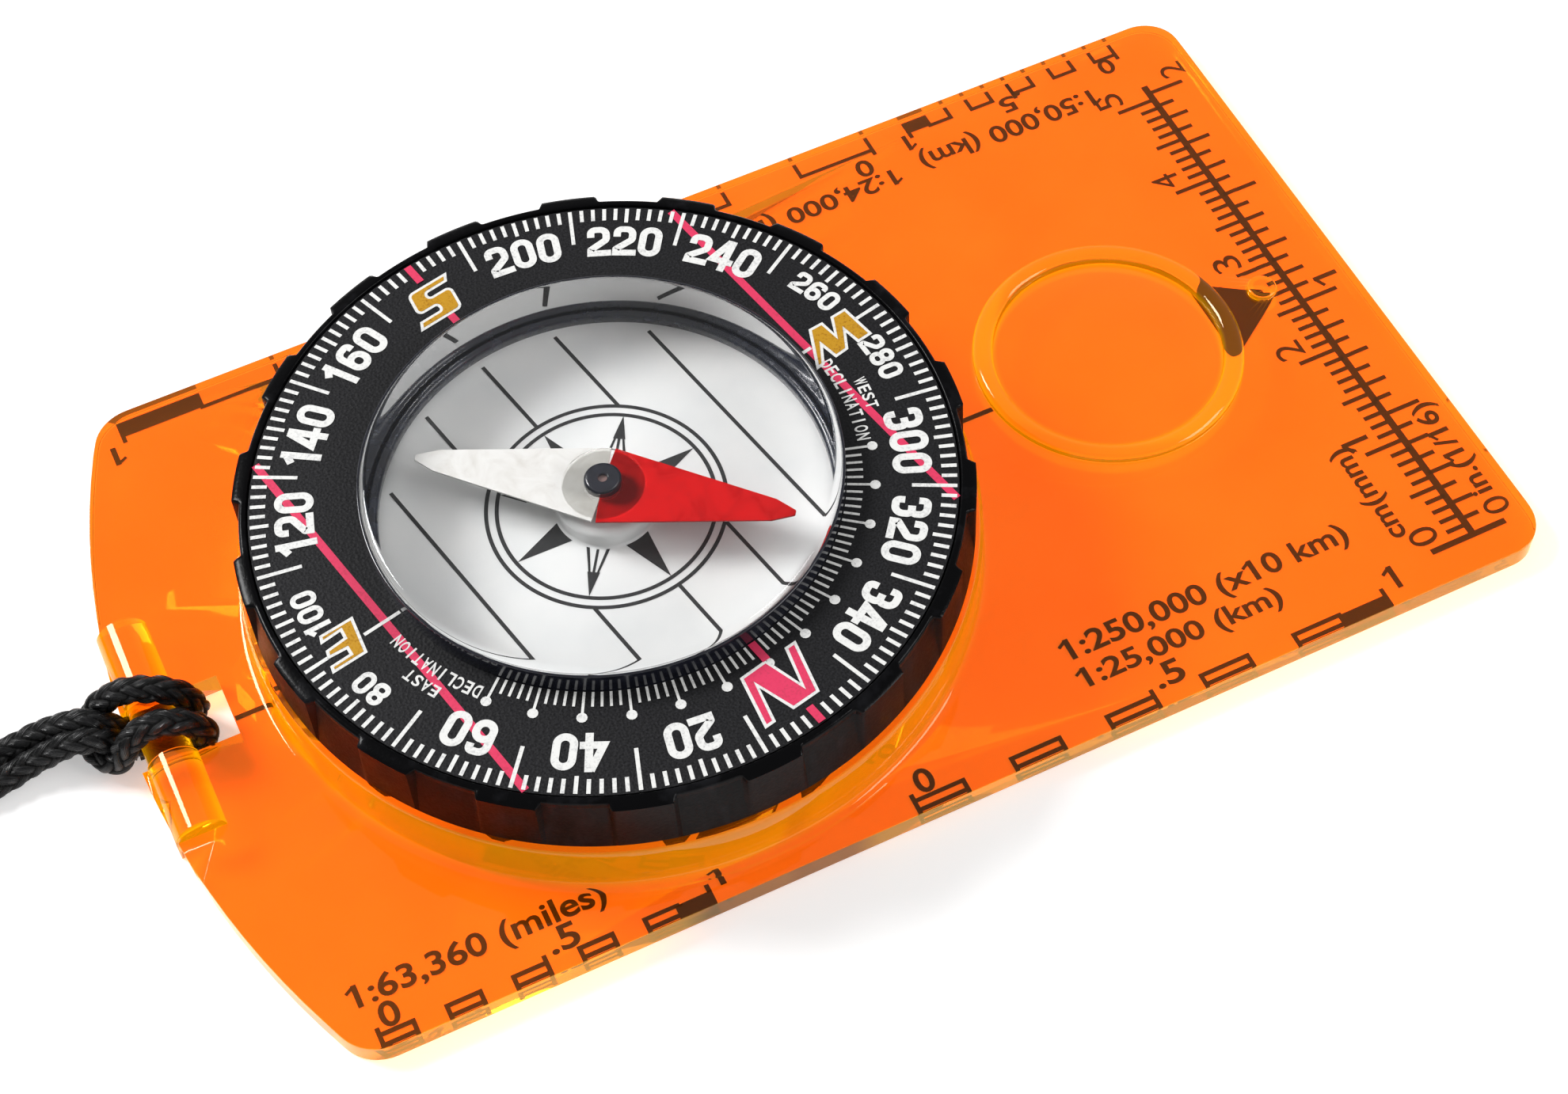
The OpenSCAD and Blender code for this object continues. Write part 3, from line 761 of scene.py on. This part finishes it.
def coil_line(z):
    """Turns from the outside of the coil inwards, clockwise from its front, then into the knot."""
    outer = (coil_high.x - coil_low.x) / 2 - CORD_R
    points = []
    for k in range(round(COIL_TURNS * TURN_POINTS) + 1):
        turns = k / TURN_POINTS
        a = -pi / 2 - 2 * pi * turns
        r = outer - COIL_PITCH * turns
        at_tie = max(0.0, -cos(a)) ** 24 * 0.4 * MM
        points.append(Vector((coil_mid.x + r * cos(a), coil_mid.y + r * sin(a), z + at_tie)))
    last = points[-1]
    return points + [last + Vector((1.5, -0.4, 0.0)) * MM, last + Vector((2.7, -1.6, 0.1)) * MM,
                     Vector((knot_mid.x + 1.0 * MM, knot_mid.y + 2.2 * MM, (z + knot_mid.z) / 2)),
                     Vector((knot_mid.x + 0.5 * MM, knot_mid.y + 0.6 * MM, knot_mid.z))]


def braid_height(s, around):
    """A two-over-two braid's relief, 0 to 1, at a length and an angle, and how far across its strand."""
    turn = around / (2 * pi) * CARRIERS
    lay = s / BRAID_LAY * CARRIERS / 2
    one, two = turn + lay, turn - lay
    i, j = math.floor(one), math.floor(two)
    over = (i + j) % 4 < 2
    across = one - i if over else two - j
    crown = math.sqrt(max(0.0, 1 - (2 * across - 1) ** 2 * 0.96))
    phase = ((i + j) % 2 + (two - j if over else one - i)) / 2
    lift = 0.72 + 0.28 * sin(pi * phase)
    return crown * lift, across


def braid(name, line, sides, *nodes, thick=CORD_R):
    """The line as a tube whose surface is the braid's relief."""
    bm = bmesh.new()
    filament = bm.verts.layers.float.new("filament")
    crest = bm.verts.layers.float.new("crest")
    up = Vector((0, 0, 1))
    s = 0.0
    rings = []
    side = None
    for i, point in enumerate(line):
        ahead = (line[min(i + 1, len(line) - 1)] - line[max(i - 1, 0)]).normalized()
        if side is None:
            side = ahead.cross(up).normalized()
        side = (side - ahead * side.dot(ahead)).normalized()
        other = ahead.cross(side)
        if i:
            s += (point - line[i - 1]).length
        ring = []
        for k in range(sides):
            a = 2 * pi * k / sides
            height, across = braid_height(s, a)
            r = thick + STRAND_RELIEF * (height - 0.8)
            spot = point + (side * cos(a) + other * sin(a)) * r
            spot.z = max(spot.z, 0.0)
            vert = bm.verts.new(spot)
            vert[filament] = across
            vert[crest] = height
            ring.append(vert)
        rings.append(ring)
    skin(bm, rings)
    return link(name, bm, None, "plate", "cord_braid", cord_material, *nodes)


cord_material = cord_braid()
FINE, COARSE = 0.09 * MM, 0.3 * MM


def metres(route):
    return [Vector(p) * MM for p in route]


def make_knot():
    """A tight stopper knot: the cord crosses through itself three times inside the CAD's ball."""
    thick = 0.85 * MM
    reach = (knot_high.x - knot_low.x) / 2 - thick
    rise = (knot_high.z - knot_low.z) / 2 - thick
    line = []
    for k in range(KNOT_POINTS):
        t = 2 * pi * k / (KNOT_POINTS - 1)
        x, y = sin(t) + 2 * sin(2 * t), cos(t) - 2 * cos(2 * t)
        line.append(knot_mid + Vector((x * reach / 3, y * reach / 3, -sin(3 * t) * rise)))
    return braid("stopper_knot", line, 56, "lanyard_knot", thick=thick)


def make_tie():
    """A woven band, wrapped flat round one side of the coil."""
    mid_x, half_x = (tie_low.x + tie_high.x) / 2, (tie_high.x - tie_low.x) / 2
    mid_z, half_z = (tie_low.z + tie_high.z) / 2, (tie_high.z - tie_low.z) / 2
    corner = 1.7 * MM
    thick = 0.32 * MM
    outline = rounded([(mid_x + i * half_x, mid_z + j * half_z, corner)
                       for i, j in ((-1, -1), (1, -1), (1, 1), (-1, 1))], turn=9)
    inner = inset(outline, thick)
    edge = 0.1 * MM
    bm = bmesh.new()
    loops = []
    for line, y in ((outline, tie_low.y + edge), (outline, tie_high.y - edge),
                    (inner, tie_high.y - edge), (inner, tie_low.y + edge)):
        loops.append([bm.verts.new((p.x, y, p.y)) for p in line])
    middle = [(a + b) / 2 for a, b in zip(outline, inner)]
    far, near = ([bm.verts.new((p.x, y, p.y)) for p in middle] for y in (tie_high.y, tie_low.y))
    skin(bm, [loops[0], loops[1], far, loops[2], loops[3], near, loops[0]], capped=False)
    return link("tie_wrap", bm, 50, "plate", "tie_band", tie_band(), "coil_tie")


def make_lanyard():
    knot, band = make_knot(), make_tie()
    hitch = braid("lanyard_loop", catmull(metres(HITCH_ROUTE), FINE), 72, "lanyard_hitch")
    for name, nodes, route, z, shared in (
            ("cord_strand_a", ["lanyard_strand_a", "lanyard_coil"], STRAND_A_ROUTE, 1.0, [knot, band, hitch]),
            ("cord_strand_b", ["lanyard_strand_b"], STRAND_B_ROUTE, 3.0, [])):
        near = catmull(metres(route), FINE)
        far = catmull([near[-1]] + coil_line(z * MM), COARSE)
        line = near + far[1:]
        strand = braid(name, line, 56, *nodes)


make_lanyard()


# ---- the baseplate
TURRET_CLEAR = 29.4
BAR_REGION_X, BAR_REGION_Y = -43.5, 11.8
PIP_CLEAR = 2.0
EDGE_ROUND = 0.22 * MM


def on_outline(p):
    """Whether a point of the plate is clear of the turret, the lens, the pip and the bar."""
    x, y = p.x / MM, p.y / MM
    if math.hypot(x - AXIS.x / MM, y) < TURRET_CLEAR or math.hypot(x - LENS_X, y) < LENS_CLEAR:
        return False
    if x < BAR_REGION_X and abs(y) < BAR_REGION_Y:
        return False
    return math.hypot(x - PIP_X, y) > PIP_CLEAR


def make_plate():
    """The CAD's plate with its outline rounded over, in clear plastic."""
    bm = bmesh.new()
    bm.from_mesh(bpy.data.objects["baseplate"].data)
    bmesh.ops.remove_doubles(bm, verts=bm.verts, dist=0.002 * MM)
    bmesh.ops.dissolve_limit(bm, angle_limit=radians(0.4), verts=bm.verts, edges=bm.edges)
    edges = [e for e in bm.edges if e.is_manifold and e.calc_face_angle(0) > radians(45)
             and all(on_outline(v.co) for v in e.verts) and e.is_convex]
    bmesh.ops.bevel(bm, geom=edges, offset=EDGE_ROUND, segments=3, profile=0.5, affect="EDGES",
                    clamp_overlap=True)
    bmesh.ops.triangulate(bm, faces=[f for f in bm.faces if len(f.verts) > 4])
    plate = link("plate_body", bm, 32, "plate", "orange_plastic", ORANGE, "baseplate")
    flatten = plate.modifiers.new("flat_faces", "WEIGHTED_NORMAL")
    flatten.keep_sharp = True
    flatten.weight = 100


def box_scale(sheet, x0, step, y_line, y_edge, closed):
    """A map scale: boxes on every other tenth, the last one filled, and tall ticks at 0, the middle and 1."""
    pen = 0.36
    for k in range(0, 10, 2):
        a, b = x0 + k * step, x0 + (k + 1) * step
        sheet.stroke([(a, y_edge), (a, y_line), (b, y_line), (b, y_edge)], pen)
        if closed:
            y_close = y_line + (y_edge - y_line) * 0.6
            sheet.stroke([(a, y_close), (b, y_close)], pen)
    a, b = x0 + 9 * step, x0 + 10 * step
    sheet.slab([(a, y_edge), (b, y_edge), (b, y_line), (a, y_line)])
    tall = math.copysign(0.6, y_edge)
    for k in (0, 5, 10):
        sheet.stroke([(x0 + k * step, y_edge), (x0 + k * step, y_line - tall)], pen)


# How long the ruler's ticks are, in millimetres, where their number divides by these.
CM_TICKS = ((10, 3.45), (5, 2.5), (1, 1.75))
INCH_TICKS = ((16, 3.25), (8, 3.1), (4, 2.3), (2, 2.0), (1, 1.5))
INCH = 25.4


def make_plate_print():
    """The scales, rulers and direction arrow, in brown ink under the plate."""
    sheet = Print(plate_low.z + 0.01 * MM)
    up, right = pi, pi / 2
    # rulers: centimetres to the rear of the line, inches to the front
    rule_x, zero_y = 47.35, -27.1
    sheet.stroke([(rule_x, zero_y - 0.25), (rule_x, 24.6)], 0.6)
    sheet.stroke([(43.6, zero_y), (50.25, zero_y)], 0.5)
    for ticks, count, unit, way in ((CM_TICKS, 50, 1.0, -1), (INCH_TICKS, 32, INCH / 16, 1)):
        for k in range(1, count + 1):
            length = next(long for part, long in ticks if k % part == 0)
            y = zero_y + k * unit
            sheet.stroke([(rule_x, y), (rule_x + way * length, y)], 0.38)
    for count, x, unit, wide, high in ((6, 43.8, 10, 1.6, 2.3), (3, 50.4, INCH, 1.5, 2.1)):
        for k in range(count):
            size = (0.42 if k == 1 else wide, high)
            sheet.text(str(k), (x, zero_y + k * unit + 1.5), size, right, 0.0)
    sheet.text("cm(mm)", (42.3, -20.3), (9.2, 2.4), right)
    sheet.text("in.(1/16)", (50.4, -19.5), (9.5, 2.4), right)
    # map scales
    for scale, turn, texts in (
            ((-1.6, 4.0, -28.75, -30.1, True), 0.0, (
                ("0", (-0.2, -27.5), (1.5, 2.0)), (".5", (20.3, -27.5), (2.4, 2.0)),
                ("1", (39.9, -27.7), (0.45, 2.0)), ("1:250,000 (x10 km)", (26.6, -22.75), (24.2, 2.5)),
                ("1:25,000 (km)", (22.9, -25.4), (16.8, 2.3)))),
            ((-43.5, 2.54, -28.75, -30.1, True), 0.0, (
                ("0", (-42.3, -27.5), (1.5, 2.0)), (".5", (-29.0, -27.5), (2.3, 2.0)),
                ("1", (-16.9, -27.7), (0.45, 2.0)), ("1:63,360 (miles)", (-34.5, -25.6), (19.2, 2.5)))),
            ((46.95, -2.0, 29.0, 30.25, False), up, (
                ("0", (45.6, 28.1), (1.4, 1.7)), (".5", (36.4, 28.1), (2.2, 1.7)),
                ("1", (26.3, 28.1), (0.4, 1.7)), ("1:50,000 (km)", (34.65, 25.8), (16.5, 2.5)))),
            ((23.3, -6.706, 28.75, 30.25, False), up, (
                ("0", (21.8, 27.2), (1.5, 1.8)), ("1", (-44.9, 27.2), (0.45, 1.8)),
                ("1:24,000 (miles)", (14.1, 25.5), (19.2, 2.3))))):
        box_scale(sheet, *scale)
        for text in texts:
            sheet.text(*text, turn)
    # index marks and the direction arrow
    sheet.stroke([(17.0, 0), (20.1, 0)], 0.42)
    sheet.stroke([(-44.2, 0), (-39.5, 0)], 0.42)
    tip, root = 45.95, 39.5
    half = (tip - root) * math.tan(radians(34))
    sheet.slab([(tip, 0), (root, half), (root, -half)])
    sheet.done("plate_print", "plate", "orange_plastic", BROWN_INK)


# ---- the dial
RIBS = 18
RIB_HALF = radians(4.5)
RIB_EDGE = radians(0.5)
SLEEVE_DEPTH, SLEEVE_WALL, SEAT_WIDTH = 3.7 * MM, 2.17 * MM, 0.95 * MM
HOLLOW_R, HOLLOW_DEPTH = 23.4 * MM, 3 * MM


def make_bezel():
    """The turning ring: sloping wall, grip ribs, rounded lip, and the sleeve that drops into the plate."""
    r_out = (bezel_high.x - bezel_low.x) / 2
    top, foot, bottom = bezel_high.z, bezel_low.z + SLEEVE_DEPTH, bezel_low.z
    bed = face_low.z - 0.01 * MM
    r_face = (face_high.x - face_low.x) / 2 + 0.05 * MM
    r_cap = LID_R + 0.05 * MM
    r_sleeve, r_seat = r_cap + SLEEVE_WALL, r_cap - SEAT_WIDTH
    corners = [
        (r_seat, bottom, 0.1), (r_sleeve, bottom, 0.3), (r_sleeve, foot, 0.1),
        (HOLLOW_R, foot, 0.1), (HOLLOW_R, foot + HOLLOW_DEPTH, 0.3),
        (25.6 * MM, foot + HOLLOW_DEPTH, 0.3),
        (26.15 * MM, foot, 0.1), (r_out, foot, 0.12),
        (r_out - 0.68 * MM, top - 0.75 * MM, 0.08),
        (r_out - 0.62 * MM, top, 0.3), (r_face + 0.12 * MM, top, 0.14), (r_face, bed, 0.02),
        (r_cap, bed, 0.02), (r_cap, bottom + 0.4 * MM, 0.02), (r_seat, bottom + 0.4 * MM, 0.1),
    ]
    rib_r = r_out - 0.06 * MM
    rib_top = top - 0.22 * MM

    def push(angle, r, z):
        if r <= r_out - 0.8 * MM or z <= foot:
            return 0.0
        step = 2 * pi / RIBS
        off = abs((angle - DIAL_TURN) % step - step / 2)
        rise = min(1.0, max(0.0, (RIB_HALF + RIB_EDGE - off) / RIB_EDGE))
        fade = min(1.0, max(0.0, (top - z) / (top - rib_top)))
        return max(0.0, rib_r - r) * rise * (0.25 + 0.75 * fade)

    turned("bezel_ring", corners, "dial", "bezel_plastic", BEZEL_BLACK, "bezel",
           turn=18, segments=1080, push=push, sharp=40)


def make_bezel_lip():
    """The thin glossy lip that stands round the capsule above the dial's face."""
    r_in = LID_R + 0.04 * MM
    r_out, top, low = r_in + 0.2 * MM, lid_high.z - 0.45 * MM, face_low.z + 0.05 * MM
    corners = [(r_out, low, 0.02), (r_out, top, 0.09),
               (r_in, top, 0.05), (r_in, low, 0.02)]
    turned("bezel_lip", corners, "dial", "bezel_plastic", CAP_BLACK, turn=30, segments=256)


def make_dial_print():
    """Two-degree ticks, bearings, the four letters, the north lines and the declination scale."""
    under, white, pink, gold = (Print(FACE_Z + level * INK_THICK, AXIS, DIAL_TURN - pi / 2)
                                for level in (0, 1, 2.2, 2.2))
    for deg in range(2, 360, 2):
        long = deg % 20 == 10 and deg not in (90, 270)
        inner = 22.9 if long else 25.1 if deg % 20 else 24.85
        white.stroke([polar(deg, inner), polar(deg, 26.25)], 0.3)
    for deg, inner, outer in ((90, 18.1, 21.2), (90, 24.3, 25.2), (270, 18.1, 19.6), (270, 24.0, 25.2)):
        white.stroke([polar(deg, inner), polar(deg, outer)], 0.28)
    for deg in range(0, 360, 20):
        if deg in (0, 180):
            continue
        small = deg in (80, 100, 260, 280)
        size, pen, foot = ((1.3, 1.95), 0.4, 22.65) if small else ((1.8, 2.95), 0.58, 21.5)
        wide = [size[0] * (0.66 if c == "1" else 1.0) for c in str(deg)]
        gap = 0.14 if small else 0.24
        total = sum(wide) + gap * (len(wide) - 1)
        x = -total / 2
        for letter, w in zip(str(deg), wide):
            bearing = radians(deg) + (x + w / 2) / (foot + size[1] / 2)
            glyph(white, letter, bearing, foot, size, pen)
            x += w + gap
    for letter, (middle, corners) in LETTERS.items():
        outline = rounded([(middle[0] + x, middle[1] + y, r) for x, y, r in corners])
        white.slab(outline)
        (pink if letter == "N" else gold).slab(inset(outline, 0.24))
    # north lines: one through the middle, and a chord each side of the capsule
    for a, b in ((24.8, 26.3), (18.1, 19.9), (-20.2, -18.1), (-26.3, -24.4)):
        pink.stroke([(0, a), (0, b)], 0.62)
    for side in (-1, 1):
        under.stroke([(side * 19.4, -17.7), (side * 19.4, 17.7)], 0.62)
    # declination scale
    for k in range(-30, 31):
        ten = k % 5 == 0
        white.stroke([polar(2 * k, 18.1), polar(2 * k, 20.0 if ten else 19.3)], 0.2)
        if ten:
            centre = Vector(polar(2 * k, 20.2))
            white.slab([centre + Vector(polar(30 * j, 0.4)) for j in range(12)])
    for side, word in ((1, "EAST"), (-1, "WEST")):
        for text, r, high, wide in ((word, 21.1, 0.95, 0.62), ("DECLINATION", 19.7, 1.05, 0.58)):
            for j, letter in enumerate(text):
                turn = side * 73.5 + math.degrees((j - (len(text) - 1) / 2) * (wide + 0.16) / r)
                width = 0.16 if letter == "I" else wide
                white.text(letter, polar(turn, r), (width, high), -radians(turn), 0.02)
    under.done("dial_side_lines", "dial", "dial_print", PINK_INK)
    white.done("dial_figures", "dial", "dial_print", WHITE_INK)
    pink.done("dial_north_print", "dial", "dial_print", PINK_INK)
    gold.done("dial_letters_gold", "dial", "dial_print", GOLD_INK)


# ---- the capsule
def make_capsule():
    """The clear lid and the oil under it as one clear body, which also wets the floor and its print."""
    r = LID_R - 0.01 * MM
    top, low = lid_high.z, CAPSULE_FLOOR_Z - 0.1 * MM
    corners = [(0, low, 0), (r, low, 0), (r, top, 0.55), (0, top, 0)]
    turned("capsule_clear", corners, "dial", "clear_plastic", CLEAR, "capsule_lid", "damping_liquid",
           turn=10, segments=256, sharp=60)
    post_r = 3.75 * MM
    corners = [(0, base_low.z, 0), (r, base_low.z, 0.1), (r, CAPSULE_FLOOR_Z, 0.05),
               (post_r, CAPSULE_FLOOR_Z, 0.35), (post_r, base_high.z, 0.7), (0, base_high.z, 0)]
    turned("capsule_floor", corners, "dial", "capsule_floor", CAPSULE_WHITE, "capsule_base")


def make_seal():
    """The rubber ring that the lid's wall stands on, glossy where the oil wets it."""
    r = LID_R - 0.02 * MM
    low, high = seal_low.z, seal_high.z + 0.1 * MM
    r_in = r - 0.8 * MM
    corners = [(r, low, 0.05), (r, high, 0.3), (r_in, high, 0.38), (r_in, low, 0.05)]
    turned("seal_ring", corners, "dial", "seal_rubber", SEAL_BLACK, "capsule_seal")


def make_rose():
    """The floor's print: two circles, the meridian lines and an eight-pointed rose."""
    sheet = Print(CAPSULE_FLOOR_Z + 0.005 * MM, AXIS, DIAL_TURN - pi / 2)
    sheet.ring(9.0, 0.3)
    sheet.ring(8.2, 0.3)
    edge = 16.3
    for x in (-12.0, -6.0, 0.0, 6.0, 12.0):
        inner = math.sqrt(max(0.0, 9.0 ** 2 - x * x))
        outer = math.sqrt(edge ** 2 - x * x)
        for side in (-1, 1):
            sheet.stroke([(x, side * inner), (x, side * outer)], 0.3)
    for k in range(4):
        out = 90 * k
        left, right = polar(out - 15, 3.9), polar(out + 15, 3.9)
        sheet.slab([polar(out, 8.1), right, left])
        out += 45
        left, right = polar(out - 12, 3.8), polar(out + 12, 3.8)
        sheet.stroke([left, polar(out, 7.5), right], 0.24)
        sheet.stroke([polar(out, 3.9), polar(out, 7.5)], 0.2)
        sheet.slab([polar(out, 8.1), polar(out + 4.5, 6.0), polar(out - 4.5, 6.0)])
    sheet.done("capsule_rose", "dial", "capsule_floor", BLACK_INK)


# ---- the needle
def make_needle():
    """The flat blade, painted red on its north half and white on its south half."""
    tip, shoulder, wide = 14.5, 12.9, 3.35
    hole = 1.44
    z0, z1 = blade_low.z / MM, blade_high.z / MM
    frame_ = Matrix.Translation((AXIS.x, AXIS.y, 0)) @ Matrix.Rotation(NEEDLE_TURN, 4, "Z")
    for name, sign, material, nodes in (("needle_north", 1, NEEDLE_RED, ["needle_blade"]),
                                        ("needle_south", -1, NEEDLE_WHITE, [])):
        corners = [(wide * 0.05, wide, 0.3), (shoulder, 0.95, 0.5), (tip, 0.22, 0.12), (tip, -0.22, 0.12),
                   (shoulder, -0.95, 0.5), (wide * 0.05, -wide, 0.3)]
        outer = rounded(corners, closed=False, turn=15)
        hole_arc = [Vector(polar(a, hole)) for a in range(180, -1, -10)]
        bm = bmesh.new()
        rings = []
        centre = Vector((5.0, 0.0))
        for z, chamfer in ((z0, 0.03), (z0 + 0.03, 0.0), (z1 - 0.03, 0.0), (z1, 0.03)):
            spots = [(p + (centre - p).normalized() * chamfer) * sign for p in outer + hole_arc]
            rings.append([bm.verts.new(frame_ @ Vector((x * MM, y * MM, z * MM))) for x, y in spots])
        skin(bm, rings)
        link(name, bm, 30, "needle", "needle_paint", material, *nodes)
    hub_r = (hub_high.x - hub_low.x) / 2
    cap_r = (cap_high.x - cap_low.x) / 2
    hub = [(cap_r + 0.01 * MM, hub_low.z, 0.05), (hub_r, hub_low.z, 0.1),
           (hub_r, hub_high.z, 0.25), (cap_r + 0.01 * MM, hub_high.z, 0.05)]
    turned("needle_hub_disc", hub, "needle", "clear_plastic", frosted(), "needle_hub", turn=18, segments=96)
    sight = 0.34 * MM
    cap = [(cap_r, cap_low.z, 0.1), (cap_r, cap_high.z, 0.3), (sight, cap_high.z, 0.12),
           (sight, cap_high.z - 0.35 * MM, 0.02), (0.75 * MM, cap_high.z - 0.36 * MM, 0.02),
           (0.75 * MM, cap_low.z, 0.05)]
    turned("needle_cap_moulded", cap, "needle", "cap_plastic", CAP_BLACK, "needle_cap", turn=18, segments=96)


make_plate()
make_plate_print()
make_bezel()
make_bezel_lip()
make_dial_print()
make_capsule()
make_seal()
make_rose()
make_needle()
dress("dial_plate", dial_print())
dress("retaining_ring", steel())
dress("pivot_pin", bpy.data.materials["steel"])
dress("friction_washer", washer_white())
dress("filler_plug", bpy.data.materials["washer_white"])
dress("jewel_cup", jewel_glass())


# ---- stage
def make_stage():
    mesh = bpy.data.meshes.new("floor")
    size = 3.0
    corners = [(x * size, y * size, FLOOR_Z) for x, y in ((-1, -1), (1, -1), (1, 1), (-1, 1))]
    mesh.from_pydata(corners, [], [(0, 1, 2, 3)])
    floor = new_object("floor", mesh)
    white = Shader("floor", (0.9, 0.9, 0.9), 0.7, Emission_Color=(1, 1, 1, 1), Emission_Strength=0.36)
    mesh.materials.append(white.material)
    world = bpy.data.worlds.new("studio")
    world.use_nodes = True
    background = world.node_tree.nodes["Background"].inputs
    background["Color"].default_value = (1, 1, 1, 1)
    background["Strength"].default_value = 0.38
    bpy.context.scene.world = world
    bpy.context.scene.view_settings.view_transform = "Standard"
    area_light("key", (-0.32, 0.36, 0.4), (0.2, 0.2), 3.4)
    area_light("fill", (0.4, -0.3, 0.35), (0.3, 0.2), 1.4)


make_stage()
